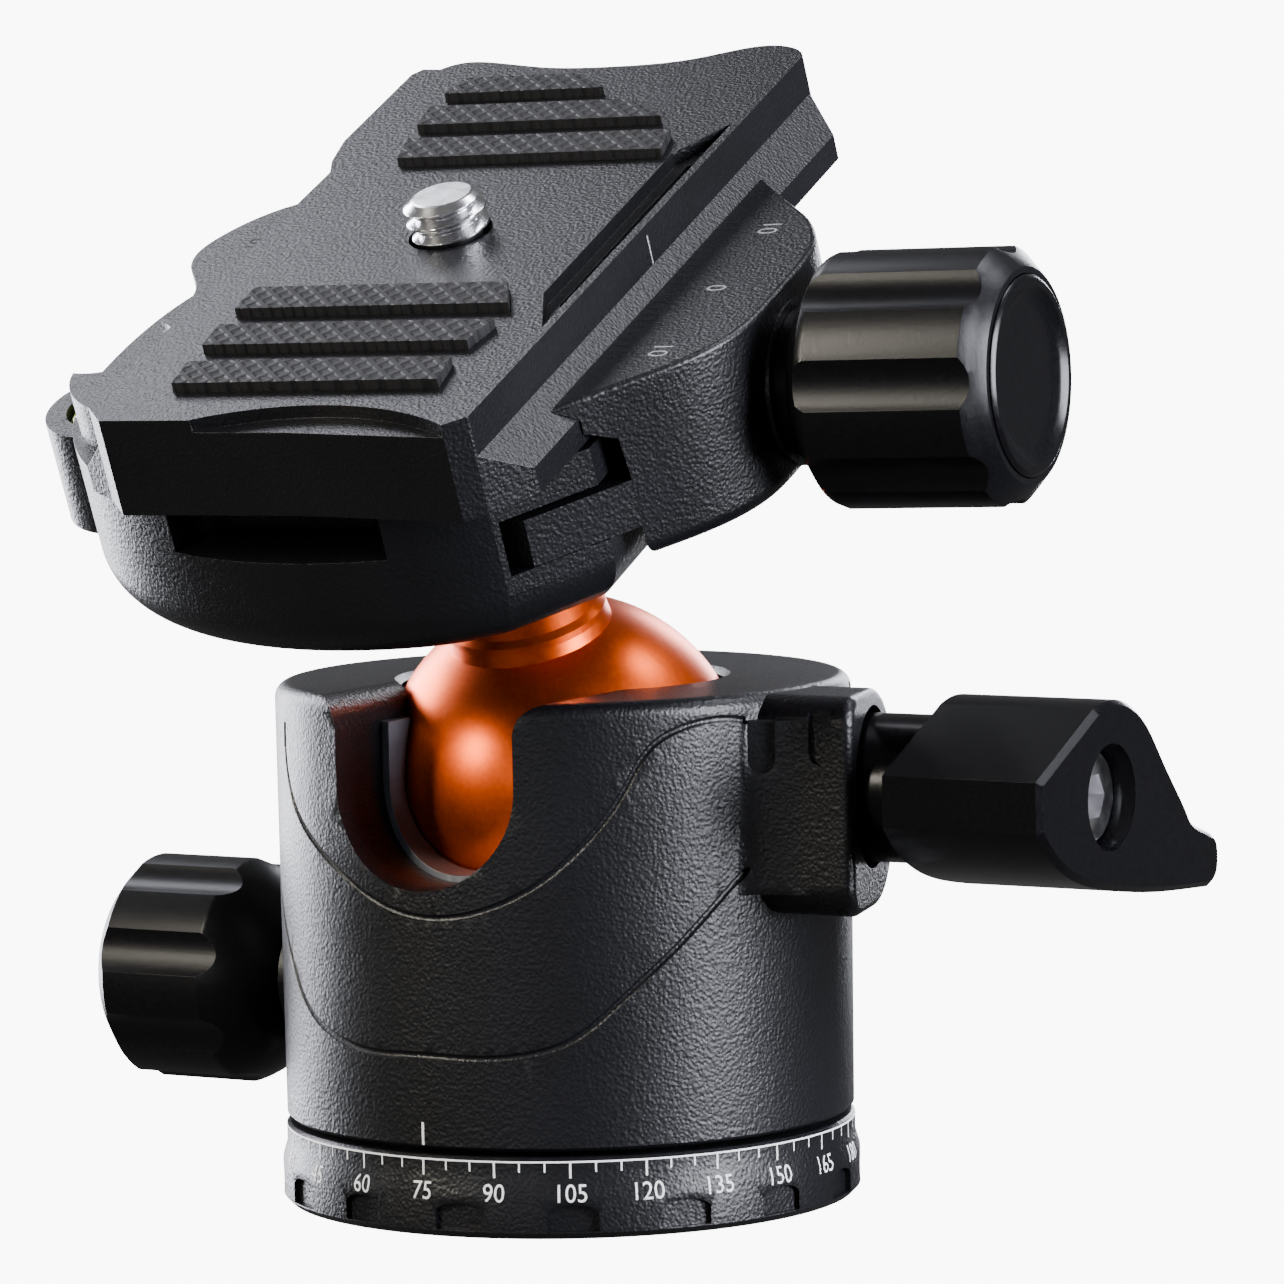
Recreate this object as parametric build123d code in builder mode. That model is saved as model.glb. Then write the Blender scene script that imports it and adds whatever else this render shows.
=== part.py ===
from build123d import *
from math import sin, cos, tan, radians, degrees, sqrt, pi
import os

# Tripod ball head: panning base, notched ball housing with a lever lock on +X and a
# pan lock knob on -X, a ball with a neck, a dovetail clamp and a quick release plate.
# Millimetres, +Z up, origin at the centre of the base underside.

# ---------------------------------------------------------------- driving dimensions
BALL_Z = 33.25            # height of the ball centre
BALL_R = 14.3
TILT = 22.5               # lean of the head towards the notch (-Y)
SPIN = 4.0                # turn of the clamp about the neck
BASE_R = 22.85            # grip band of the base
SCALE_R = 22.5            # scale band of the base
BASE_TOP = 6.25
POST_R = 11.0
POST_TOP = 20.4
HOUSING_R = 22.6
HOUSING_Z0 = 6.7
HOUSING_Z1 = 41.0
BORE_R = 16.5
BORE_TOP = 38.6
NOTCH_HW = 7.9            # half width of the drop notch
NOTCH_CZ = 34.4           # centre of the notch's round bottom
BOSS_HW = 7.4             # front wall of the lever boss from the lever axis
BOSS_X = 27.54            # slanted boss face, on the lever axis
PAN_Z = 16.0              # axis of the pan lock knob
THREAD_MINOR_R = 3.97     # 3/8 in - 16 socket, minor radius
CAMERA_R = 3.175          # 1/4 in camera screw
LEVER_Z = BALL_Z
PLATE_V = 2.4             # slid position of the plate along the clamp
PLATE_HW = 16.5
PLATE_TOP = 45.8
PAD_RISE = 0.75           # rubber bars above the plate
DOVETAIL_HW = 19.05
JAW_TOP = 41.6
CLAMP_BOTTOM = 24.5
FLOOR_W = 37.6            # clamp floor under the plate
KNOB_W = 33.8             # axis of the clamp knob above the ball centre
KNOB_R = 9.8
PAN_KNOB_R = 9.1

os.makedirs("parts", exist_ok=True)

# ---------------------------------------------------------------- head frame
T, S = radians(TILT), radians(SPIN)
U = Vector(cos(S), sin(S) * cos(T), sin(S) * sin(T))
V = Vector(-sin(S), cos(S) * cos(T), cos(S) * sin(T))
W = Vector(0, -sin(T), cos(T))
BC = Vector(0, 0, BALL_Z)
HEAD = Plane(origin=BC, x_dir=U, z_dir=W)              # local x = u, y = v, z = w
HEAD_UW = Plane(origin=BC, x_dir=U, z_dir=V * -1)      # local x = u, y = w
HEAD_VW = Plane(origin=BC, x_dir=V, z_dir=U)           # local x = v, y = w, z = u
STEM = Axis(BC, W)


def head_point(u, v, w):
    return BC + U * u + V * v + W * w


def head_vw_at(u):
    # plane across the clamp, normal to u, at a given u
    return Plane(origin=BC + U * u, x_dir=V, z_dir=U)


def x_plane(x, z):
    # plane normal to +X; local x = +Y, local y = +Z
    return Plane(origin=(x, 0, z), x_dir=(0, 1, 0), z_dir=(1, 0, 0))


XZ_UP = Plane(origin=(0, 0, 0), x_dir=(1, 0, 0), z_dir=(0, -1, 0))   # local x = X, y = Z


def on_cylinder(r, azimuth, z):
    # azimuth from -Y towards +X
    a = radians(azimuth)
    return Vector(r * sin(a), -r * cos(a), z)


def export(name, label, shape):
    shape.label = label
    export_step(shape, "parts/" + name + ".step")


# ---------------------------------------------------------------- pan base
# foot ring with scale band, hollow centre post with a lock groove and a clip groove
with BuildPart() as pan_base:
    with BuildSketch(XZ_UP) as s:
        with BuildLine() as l:
            Polyline((6.5, 0), (22.35, 0), (BASE_R, 0.5), (BASE_R, 3.4), (SCALE_R, 4.6),
                     (SCALE_R, 6.0), (22.25, BASE_TOP), (POST_R, BASE_TOP),
                     (POST_R, PAN_Z - 1.2), (POST_R - 1.2, PAN_Z), (POST_R, PAN_Z + 1.2),
                     (POST_R, 19.5), (9.6, 19.5), (9.6, POST_TOP), (8.0, POST_TOP),
                     (8.0, 14.8), (6.0, 14.0), (2.2, 14.0), (2.2, 11.0), (6.5, 11.0), close=True)
        make_face()
    revolve(axis=Axis.Z)
    # shoulder above the clip groove
    with BuildSketch(Plane.XY.offset(20.4)) as s:
        Circle(10.4)
        Circle(8.0, mode=Mode.SUBTRACT)
    extrude(amount=0.5)
    # thumb recesses round the foot
    for k in range(16):
        az = 30.4 + 22.5 * k
        a = radians(az)
        n = Vector(sin(a), -cos(a), 0)
        with BuildSketch(Plane(origin=n * (BASE_R - 0.55) + Vector(0, 0, 0), x_dir=(cos(a), sin(a), 0), z_dir=n)) as s:
            with Locations((0, 1.25)):
                Rectangle(4.0, 1.3)
            with Locations((0, 1.9)):
                Ellipse(2.0, 0.8)
        extrude(amount=2.0, mode=Mode.SUBTRACT)
export("pan_base", "pan_base", pan_base.part)

# threaded bush of the tripod socket
with BuildPart() as thread_insert:
    with BuildSketch(Plane.XY) as s:
        Circle(6.5)
        Circle(THREAD_MINOR_R, mode=Mode.SUBTRACT)
    extrude(amount=11.0)
export("thread_insert", "thread_insert", thread_insert.part)

with BuildPart() as snap_ring:
    with BuildSketch(Plane.XY.offset(19.55)) as s:
        Circle(12.3)
        Circle(9.65, mode=Mode.SUBTRACT)
        with Locations((0, 11)):
            Rectangle(3.2, 4.5, mode=Mode.SUBTRACT)
    extrude(amount=0.8)
export("snap_ring", "snap_ring", snap_ring.part)

with BuildPart() as thrust_washer:
    with BuildSketch(Plane.XY.offset(BASE_TOP)) as s:
        Circle(15.0)
        Circle(11.3, mode=Mode.SUBTRACT)
    extrude(amount=0.9)
export("thrust_washer", "thrust_washer", thrust_washer.part)

# ---------------------------------------------------------------- housing
with BuildPart() as housing:
    with BuildSketch(XZ_UP) as s:
        with BuildLine() as l:
            Polyline((BORE_R, HOUSING_Z0), (22.15, HOUSING_Z0), (22.45, 7.0), (22.7, 39.8))
            ThreePointArc((22.7, 39.8), (22.35, 40.65), (21.5, HOUSING_Z1))
            Polyline((21.5, HOUSING_Z1), (9.0, HOUSING_Z1), (9.0, BORE_TOP), (BORE_R, BORE_TOP), (BORE_R, HOUSING_Z0))
        make_face()
    revolve(axis=Axis.Z)
    # clamping boss for the lever: straight front edge, rounded rear, outer face slanted forwards
    with BuildSketch(x_plane(18.5, 32.7)) as s:
        with BuildLine() as l:
            Line((0.6, 8.1), (2.2 - BOSS_HW, 8.1))
            ThreePointArc((2.2 - BOSS_HW, 8.1), (2.2 - BOSS_HW - 2.2 * sqrt(0.5), 5.9 + 2.2 * sqrt(0.5)), (-BOSS_HW, 5.9))
            Line((-BOSS_HW, 5.9), (-BOSS_HW, -6.3))
            ThreePointArc((-BOSS_HW, -6.3), (2.6 - BOSS_HW - 2.6 * sqrt(0.5), -6.3 - 2.6 * sqrt(0.5)), (2.6 - BOSS_HW, -8.9))
            Line((2.6 - BOSS_HW, -8.9), (0.6, -8.9))
            ThreePointArc((0.6, -8.9), (0.6 + 6.6 * sqrt(0.5), -2.3 - 6.6 * sqrt(0.5)), (7.2, -2.3))
            Line((7.2, -2.3), (7.2, 1.5))
            ThreePointArc((7.2, 1.5), (0.6 + 6.6 * sqrt(0.5), 1.5 + 6.6 * sqrt(0.5)), (0.6, 8.1))
        make_face()
    extrude(amount=13.0)
    with BuildSketch(Plane.XY.offset(20)) as s:
        with BuildLine() as l:
            Polyline((BOSS_X + 3.37, -12), (45, -12), (45, 12), (BOSS_X - 3.37, 12), close=True)
        make_face()
    extrude(amount=24, mode=Mode.SUBTRACT)
    fillet(housing.faces().sort_by(Axis.X)[-1].edges(), radius=0.7)
    # hollow blend from the front wall of the boss into the round body
    with BuildSketch(Plane.XY.offset(25.6)) as s:
        b0 = on_cylinder(22.55, 64.0, 0)
        with BuildLine() as l:
            Spline((26.0, -BOSS_HW), (22.7, -8.0), (b0.X, b0.Y), tangents=((-1, 0), (-cos(radians(64)), -sin(radians(64)))))
            Polyline((b0.X, b0.Y), (17.5, -8.0), (20.0, -5.0), (26.0, -5.0), (26.0, -BOSS_HW))
        make_face()
    extrude(amount=13.4)
    # upright grooves below the rim, in the front wall of the boss
    for gx, gy, na, gz, gw in ((26.8, -7.4, 0, 38.0, 1.9), (22.3, -8.3, 30, 37.4, 2.1)):
        n = Vector(sin(radians(na)), -cos(radians(na)), 0)
        with BuildSketch(Plane(origin=Vector(gx, gy, gz) - n * 0.45, x_dir=(-n.Y, n.X, 0), z_dir=n)) as s:
            SlotCenterToCenter(2.8, gw, rotation=90)
        extrude(amount=3.0, mode=Mode.SUBTRACT)
    # seat of the pan lock collar
    with BuildSketch(x_plane(-22.75, PAN_Z)) as s:
        Circle(5.6)
    extrude(amount=3.0)
    # ball opening
    with BuildSketch(XZ_UP) as s:
        with BuildLine() as l:
            a0 = radians(60)
            CenterArc((0, BALL_Z), 14.65, 0, 90)
            Line((0, BALL_Z + 14.65), (0, BALL_Z))
            Line((0, BALL_Z), (14.65, BALL_Z))
        make_face()
    revolve(axis=Axis.Z, mode=Mode.SUBTRACT)
    with BuildSketch(XZ_UP) as s:
        with BuildLine() as l:
            Polyline((0, 40.45), (12.66, 40.45), (13.35, 41.1), (0, 41.1), close=True)
        make_face()
    revolve(axis=Axis.Z, mode=Mode.SUBTRACT)
    # clear the bore again where the boss and the collar seat run inwards
    with BuildSketch(Plane.XY.offset(HOUSING_Z0)) as s:
        Circle(BORE_R)
    extrude(amount=BORE_TOP - HOUSING_Z0, mode=Mode.SUBTRACT)
    # drop notch with a round bottom and eased upper corners
    with BuildSketch(Plane(origin=(0, -30, NOTCH_CZ), x_dir=(1, 0, 0), z_dir=(0, -1, 0))) as s:
        Circle(NOTCH_HW)
        with Locations((0, 6)):
            Rectangle(2 * NOTCH_HW, 12)
        with Locations((0, 5.6)):
            Rectangle(2 * (NOTCH_HW + 2.6), 5.2)
        with Locations((NOTCH_HW + 2.6, 4.0), (-NOTCH_HW - 2.6, 4.0)):
            Circle(2.6, mode=Mode.SUBTRACT)
        with Locations((NOTCH_HW + 2.6, 2.9), (-NOTCH_HW - 2.6, 2.9)):
            Rectangle(5.2, 2.2, mode=Mode.SUBTRACT)
    extrude(amount=-24, mode=Mode.SUBTRACT)
    # wavy border lines round the body
    line_a = [(-42.6, 38.4), (-38.4, 32.4), (-23.3, 28.3), (-8.4, 25.3), (3.0, 24.5), (13.1, 25.1),
              (25.8, 27.5), (33.7, 30.2), (41.6, 34.1), (47.6, 37.6), (54.3, 38.9), (68.0, 39.0)]
    line_b = [(-60, 28.0), (-52, 24.2), (-42.3, 19.9), (-38.0, 18.0), (-29.6, 15.6), (-20.6, 14.4), (-13.0, 13.9),
              (0.1, 13.9), (12.7, 13.8), (21.3, 14.1), (29.5, 15.0), (41.9, 18.7), (50.9, 21.7), (59.6, 24.8), (70, 28.2)]
    for pts in (line_a, line_b):
        with BuildLine() as l:
            Spline(*[on_cylinder(22.45 + 0.25 * (z - 7) / 33 + 0.12, az, z) for az, z in pts])
        with BuildSketch(Plane(origin=l.wires()[0] @ 0, z_dir=l.wires()[0] % 0)) as s:
            Circle(0.32)
        sweep(sections=s.sketch, path=l.wires()[0], mode=Mode.SUBTRACT)
    # short upright flutes below the rim
    for az in (113.6, 123.5, 133.4, 143.3, 153.2, 163.1, 173, 182.9, 192.8, 202.7, 212.6, 222.5, 232.4):
        a = radians(az)
        n = Vector(sin(a), -cos(a), 0)
        zc, ln = 38.0, 3.2
        with BuildSketch(Plane(origin=n * 22.1 + Vector(0, 0, zc), x_dir=(cos(a), sin(a), 0), z_dir=n)) as s:
            SlotCenterToCenter(ln, 1.5, rotation=90)
        extrude(amount=2.0, mode=Mode.SUBTRACT)
    # lever boss: washer recess, bush bore and brake shoe pocket
    with BuildSketch(x_plane(24.8, LEVER_Z)) as s:
        Circle(6.3)
    extrude(amount=8.0, mode=Mode.SUBTRACT)
    with BuildSketch(x_plane(12.0, LEVER_Z)) as s:
        Circle(5.0)
    extrude(amount=14.0, mode=Mode.SUBTRACT)
    with BuildSketch(x_plane(12.0, LEVER_Z)) as s:
        Circle(5.3)
    extrude(amount=7.2, mode=Mode.SUBTRACT)
    # pan lock bore
    with BuildSketch(x_plane(-26.0, PAN_Z)) as s:
        Circle(2.55)
    extrude(amount=12.0, mode=Mode.SUBTRACT)
    # holes of the two carrier set screws, at the rear
    for az in (145, 215):
        a = radians(az)
        n = Vector(sin(a), -cos(a), 0)
        with BuildSketch(Plane(origin=n * 14.0 + Vector(0, 0, 11.0), x_dir=(cos(a), sin(a), 0), z_dir=n)) as s:
            Circle(1.5)
        extrude(amount=10.0, mode=Mode.SUBTRACT)
export("housing", "housing", housing.part)

# carrier that turns on the post and closes the housing from below
with BuildPart() as carrier_plug:
    with BuildSketch(Plane.XY.offset(7.2)) as s:
        Circle(BORE_R - 0.05)
        Circle(POST_R + 0.08, mode=Mode.SUBTRACT)
    extrude(amount=12.2)
    with BuildSketch(x_plane(-18.0, PAN_Z)) as s:
        Circle(2.55)
    extrude(amount=8.0, mode=Mode.SUBTRACT)
    for az in (145, 215):
        a = radians(az)
        n = Vector(sin(a), -cos(a), 0)
        with BuildSketch(Plane(origin=n * 13.3 + Vector(0, 0, 11.0), x_dir=(cos(a), sin(a), 0), z_dir=n)) as s:
            Circle(1.5)
        extrude(amount=6.0, mode=Mode.SUBTRACT)
export("carrier_plug", "carrier_plug", carrier_plug.part)

with BuildPart() as carrier_set_screws:
    for az in (145, 215):
        a = radians(az)
        n = Vector(sin(a), -cos(a), 0)
        with BuildSketch(Plane(origin=n * 13.4 + Vector(0, 0, 11.0), x_dir=(cos(a), sin(a), 0), z_dir=n)) as s:
            Circle(1.47)
        extrude(amount=7.6)
        with BuildSketch(Plane(origin=n * 19.6 + Vector(0, 0, 11.0), x_dir=(cos(a), sin(a), 0), z_dir=n)) as s:
            RegularPolygon(0.85, 6)
        extrude(amount=2.0, mode=Mode.SUBTRACT)
export("carrier_set_screws", "carrier_set_screws", carrier_set_screws.part)

# ---------------------------------------------------------------- ball seats
with BuildPart() as liner_ring:
    with BuildSketch(Plane.XY.offset(25.0)) as s:
        Circle(BORE_R - 0.05)
    extrude(amount=13.5)
    with BuildSketch(XZ_UP) as s:
        with BuildLine() as l:
            CenterArc((0, BALL_Z), 14.5, -90, 180)
            Line((0, BALL_Z + 14.5), (0, BALL_Z - 14.5))
        make_face()
    revolve(axis=Axis.Z, mode=Mode.SUBTRACT)
    with BuildSketch(Plane(origin=(0, 0, 34.0), x_dir=(1, 0, 0), z_dir=(0, -1, 0))) as s:
        Circle(7.0)
        with Locations((0, 4)):
            Rectangle(14.0, 8)
    extrude(amount=20, mode=Mode.SUBTRACT)
    with BuildSketch(x_plane(8.0, LEVER_Z)) as s:
        Circle(5.3)
    extrude(amount=12.0, mode=Mode.SUBTRACT)
export("liner_ring", "liner_ring", liner_ring.part)

with BuildPart() as lower_seat:
    with BuildSketch(Plane.XY.offset(22.35)) as s:
        Circle(BORE_R - 0.05)
    extrude(amount=2.5)
    with BuildSketch(XZ_UP) as s:
        with BuildLine() as l:
            CenterArc((0, BALL_Z), 14.5, -90, 180)
            Line((0, BALL_Z + 14.5), (0, BALL_Z - 14.5))
        make_face()
    revolve(axis=Axis.Z, mode=Mode.SUBTRACT)
export("lower_seat", "lower_seat", lower_seat.part)

# cone spring between the carrier and the lower seat
with BuildPart() as disc_spring:
    with BuildSketch(XZ_UP) as s:
        with BuildLine() as l:
            Polyline((16.1, 19.45), (16.1, 20.25), (13.1, 22.25), (13.1, 21.45), close=True)
        make_face()
    revolve(axis=Axis.Z)
export("disc_spring", "disc_spring", disc_spring.part)

# ---------------------------------------------------------------- lever lock
with BuildPart() as lever_bush:
    with BuildSketch(x_plane(19.3, LEVER_Z)) as s:
        Circle(4.97)
        Circle(4.05, mode=Mode.SUBTRACT)
    extrude(amount=5.4)
export("lever_bush", "lever_bush", lever_bush.part)

with BuildPart() as boss_washer:
    with BuildSketch(x_plane(24.82, LEVER_Z)) as s:
        Circle(6.0)
        Circle(4.15, mode=Mode.SUBTRACT)
    extrude(amount=0.45)
export("boss_washer", "boss_washer", boss_washer.part)

with BuildPart() as brake_shoe:
    with BuildSketch(x_plane(12.4, LEVER_Z)) as s:
        Circle(5.0)
    extrude(amount=6.1)
    with BuildSketch(XZ_UP) as s:
        with BuildLine() as l:
            CenterArc((0, BALL_Z), BALL_R + 0.06, -90, 180)
            Line((0, BALL_Z + BALL_R + 0.06), (0, BALL_Z - BALL_R - 0.06))
        make_face()
    revolve(axis=Axis(BC, (0, 0, 1)), mode=Mode.SUBTRACT)
export("brake_shoe", "brake_shoe", brake_shoe.part)

with BuildPart() as lock_spindle:
    with BuildSketch(x_plane(18.52, LEVER_Z)) as s:
        Circle(3.99)
    extrude(amount=21.4)
    chamfer(lock_spindle.faces().sort_by(Axis.X)[0].edges(), length=0.4)
export("lock_spindle", "lock_spindle", lock_spindle.part)

# hub and wing shaped grip in one piece
wing = [(-12.0, 2.4), (-1.4, 6.8)]
with BuildPart() as lock_lever:
    with BuildSketch(x_plane(25.4, LEVER_Z)) as s:
        Circle(5.75)
    extrude(amount=12.0)
    with BuildSketch(x_plane(34.6, LEVER_Z)) as s:
        with BuildLine() as l:
            Line((-12.0, 2.4), (-2.2, 6.9))
            Spline((-2.2, 6.9), (1.5, 7.3), (5.5, 5.9), (9.5, 1.9), (13.5, -2.4), (18.3, -4.8), tangents=((1, 0.3), (1, -0.3)))
            Spline((18.3, -4.8), (19.1, -6.4), (17.6, -8.9), tangents=((1, -0.6), (-1, -0.35)))
            Spline((17.6, -8.9), (9.0, -8.3), (0.0, -7.1), (-7.5, -5.0), (-12.0, -1.5))
            Line((-12.0, -1.5), (-12.0, 2.4))
        make_face()
    extrude(amount=13.3)
    try_edges = lock_lever.faces().sort_by(Axis.X)[-1].edges()
    chamfer(try_edges, length=0.45)
    with BuildSketch(x_plane(43.4, LEVER_Z)) as s:
        Circle(4.1)
    extrude(amount=6.0, mode=Mode.SUBTRACT)
    with BuildSketch(x_plane(24.0, LEVER_Z)) as s:
        Circle(4.0)
    extrude(amount=16.0, mode=Mode.SUBTRACT)
    with BuildSketch(x_plane(39.0, LEVER_Z)) as s:
        Circle(1.6)
    extrude(amount=6.0, mode=Mode.SUBTRACT)
export("lock_lever", "lock_lever", lock_lever.part)

with BuildPart() as lever_screw:
    with BuildSketch(x_plane(43.45, LEVER_Z)) as s:
        Circle(3.75)
    extrude(amount=2.9)
    chamfer(lever_screw.faces().sort_by(Axis.X)[-1].edges(), length=0.4)
    with BuildSketch(x_plane(40.0, LEVER_Z)) as s:
        Circle(1.55)
    extrude(amount=3.5)
    with BuildSketch(x_plane(44.6, LEVER_Z)) as s:
        RegularPolygon(1.9, 6)
    extrude(amount=3.0, mode=Mode.SUBTRACT)
export("lever_screw", "lever_screw", lever_screw.part)

# ---------------------------------------------------------------- pan lock
NEG_X = Plane(origin=(0, 0, PAN_Z), x_dir=(0, -1, 0), z_dir=(-1, 0, 0))

with BuildPart() as pan_brake_pin:
    with BuildSketch(NEG_X.offset(12.3)) as s:
        Circle(2.5)
    extrude(amount=3.2)
    with BuildSketch(XZ_UP) as s:
        with BuildLine() as l:
            Polyline((-12.3, PAN_Z), (-12.3, PAN_Z + 2.5), (-9.97, PAN_Z + 0.17), (-9.97, PAN_Z), close=True)
        make_face()
    revolve(axis=Axis((0, 0, PAN_Z), (1, 0, 0)))
export("pan_brake_pin", "pan_brake_pin", pan_brake_pin.part)

with BuildPart() as pan_stud:
    with BuildSketch(NEG_X.offset(15.55)) as s:
        Circle(2.5)
    extrude(amount=20.4)
export("pan_stud", "pan_stud", pan_stud.part)

with BuildPart() as pan_collar:
    with BuildSketch(NEG_X.offset(22.8)) as s:
        Circle(5.2)
        Circle(2.6, mode=Mode.SUBTRACT)
    extrude(amount=1.2)
export("pan_collar", "pan_collar", pan_collar.part)

# grooved knob with a conical back
with BuildPart() as pan_knob:
    with BuildSketch(XZ_UP) as s:
        with BuildLine() as l:
            Line((-24.1, PAN_Z), (-24.1, PAN_Z + 4.6))
            ThreePointArc((-24.1, PAN_Z + 4.6), (-26.2, PAN_Z + 7.2), (-29.4, PAN_Z + PAN_KNOB_R))
            Polyline((-29.4, PAN_Z + PAN_KNOB_R), (-38.3, PAN_Z + PAN_KNOB_R), (-39.7, PAN_Z + 7.6), (-39.7, PAN_Z + 6.2),
                     (-39.3, PAN_Z + 5.8), (-39.3, PAN_Z), (-24.1, PAN_Z))
        make_face()
    revolve(axis=Axis((0, 0, PAN_Z), (1, 0, 0)))
    # shallow hollow grooves along the whole knob
    with BuildSketch(NEG_X.offset(24.0)) as s:
        with PolarLocations(PAN_KNOB_R + 2.94, 8, start_angle=15):
            Circle(3.6)
    extrude(amount=18.0, mode=Mode.SUBTRACT)
    with BuildSketch(NEG_X.offset(23.0)) as s:
        Circle(2.52)
    extrude(amount=13.2, mode=Mode.SUBTRACT)
export("pan_knob", "pan_knob", pan_knob.part)

# ---------------------------------------------------------------- ball and neck
with BuildPart() as ball:
    with BuildSketch(HEAD_UW) as s:
        with BuildLine() as l:
            th = 27.0
            p0 = (BALL_R * sin(radians(th)), BALL_R * cos(radians(th)))
            CenterArc((0, 0), BALL_R, -90, 90 - th + 90)
            Polyline(p0, (6.35, 13.7), (6.35, 14.25), (5.9, 14.75), (5.9, CLAMP_BOTTOM), (0, CLAMP_BOTTOM), (0, -BALL_R))
        make_face()
    revolve(axis=STEM)
    with BuildSketch(HEAD.offset(4.0)) as s:
        Circle(4.0)
    extrude(amount=24.0, mode=Mode.SUBTRACT)
export("ball", "ball", ball.part)

with BuildPart() as stem_bolt:
    with BuildSketch(HEAD.offset(4.6)) as s:
        Circle(3.95)
    extrude(amount=29.0)
    with BuildSketch(HEAD.offset(33.0)) as s:
        Circle(6.4)
    extrude(amount=4.2)
    with BuildSketch(HEAD.offset(34.6)) as s:
        RegularPolygon(3.4, 6)
    extrude(amount=3.0, mode=Mode.SUBTRACT)
export("stem_bolt", "stem_bolt", stem_bolt.part)

# ---------------------------------------------------------------- clamp
# 45 degree dovetail flank: u + w = 59.1 on the plate, 0.05 mm clear on the jaws
FRONT = [(13.5, -25.4), (9.5, -27.6), (3.0, -28.9), (-4.0, -28.9), (-11.0, -27.5), (-18.5, -23.9), (-24.6, -18.2)]
BACK = [(u, -v) for u, v in reversed(FRONT)]

with BuildPart() as clamp_base:
    # bowl shaped body
    with BuildSketch(HEAD.offset(CLAMP_BOTTOM)) as s:
        with BuildLine() as l:
            Line((19.3, 18.95), (19.3, -18.95))
            Line((19.3, -18.95), FRONT[0])
            Spline(*FRONT, (-28.7, -10.2), (-30.0, 0), (-28.7, 10.2), *BACK)
            Line(BACK[-1], (19.3, 18.95))
        make_face()
    extrude(amount=FLOOR_W - CLAMP_BOTTOM)
    fillet(clamp_base.faces().sort_by(STEM)[0].edges(), radius=4.2)
    # level boss
    with BuildSketch(HEAD.offset(28.6)) as s:
        with Locations((-25.8, -7.8)):
            Circle(6.5)
    extrude(amount=8.3)
    # fixed jaw with a waisted outer wall
    with BuildSketch(HEAD.offset(FLOOR_W - 2.0)) as s:
        with BuildLine() as l:
            Polyline((-19.2, 19.8), (-17.57, 21.0), (-17.57, -21.0), (-19.2, -19.8))
            Spline((-19.2, -19.8), (-24.1, -17.3), (-27.0, -11.1), (-26.1, -7.6), (-23.9, -4.1), (-23.1, 0.4),
                   (-24.0, 3.4), (-26.1, 6.6), (-26.9, 9.6), (-26.2, 12.9), (-23.6, 17.2), (-19.2, 19.8))
        make_face()
    extrude(amount=JAW_TOP - FLOOR_W + 2.0)
    # dovetail channel of the fixed jaw
    with BuildSketch(Plane(origin=BC + V * -40, x_dir=U, z_dir=V * -1)) as s:
        with BuildLine() as l:
            Polyline((-17.92, JAW_TOP + 0.1), (-17.92, 41.25), (-19.2, 39.97), (-19.2, FLOOR_W), (0, FLOOR_W), (0, JAW_TOP + 0.1), close=True)
        make_face()
    extrude(amount=-80, mode=Mode.SUBTRACT)
    # open finger bay in the front wall and its twin at the rear
    for sgn in (-1, 1):
        with BuildSketch(HEAD.offset(33.4)) as s:
            with Locations((-3.35, sgn * 27.5)):
                RectangleRounded(18.7, 9.0, 1.5)
        extrude(amount=10, mode=Mode.SUBTRACT)
    # tongue slot of the moving jaw
    with BuildSketch(HEAD.offset(30.15)) as s:
        with Locations((15.0, 0)):
            Rectangle(13.0, 50.0)
    extrude(amount=4.45, mode=Mode.SUBTRACT)
    # draw screw bore, guide pin bores
    with BuildSketch(head_vw_at(7.0)) as s:
        with Locations((0, KNOB_W)):
            Circle(3.05)
    extrude(amount=14.0, mode=Mode.SUBTRACT)
    with BuildSketch(head_vw_at(12.0)) as s:
        with Locations((-10, 28.75), (10, 28.75)):
            Circle(1.2)
    extrude(amount=10.0, mode=Mode.SUBTRACT)
    # stem bolt seat
    with BuildSketch(HEAD.offset(CLAMP_BOTTOM)) as s:
        Circle(4.02)
    extrude(amount=14.0, mode=Mode.SUBTRACT)
    with BuildSketch(HEAD.offset(32.9)) as s:
        Circle(6.47)
    extrude(amount=6.0, mode=Mode.SUBTRACT)
    # well of the level
    with BuildSketch(HEAD.offset(32.0)) as s:
        with Locations((-25.8, -7.8)):
            Circle(4.8)
    extrude(amount=10.0, mode=Mode.SUBTRACT)
export("clamp_base", "clamp_base", clamp_base.part)

with BuildPart() as level_vial:
    with BuildSketch(HEAD.offset(32.05)) as s:
        with Locations((-25.8, -7.8)):
            Circle(4.75)
    extrude(amount=4.3)
    chamfer(level_vial.faces().sort_by(STEM)[-1].edges(), length=0.35)
export("level_vial", "level_vial", level_vial.part)

with BuildPart() as guide_pins:
    with BuildSketch(head_vw_at(12.1)) as s:
        with Locations((-10, 28.75), (10, 28.75)):
            Circle(1.18)
    extrude(amount=12.9)
export("guide_pins", "guide_pins", guide_pins.part)

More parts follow.
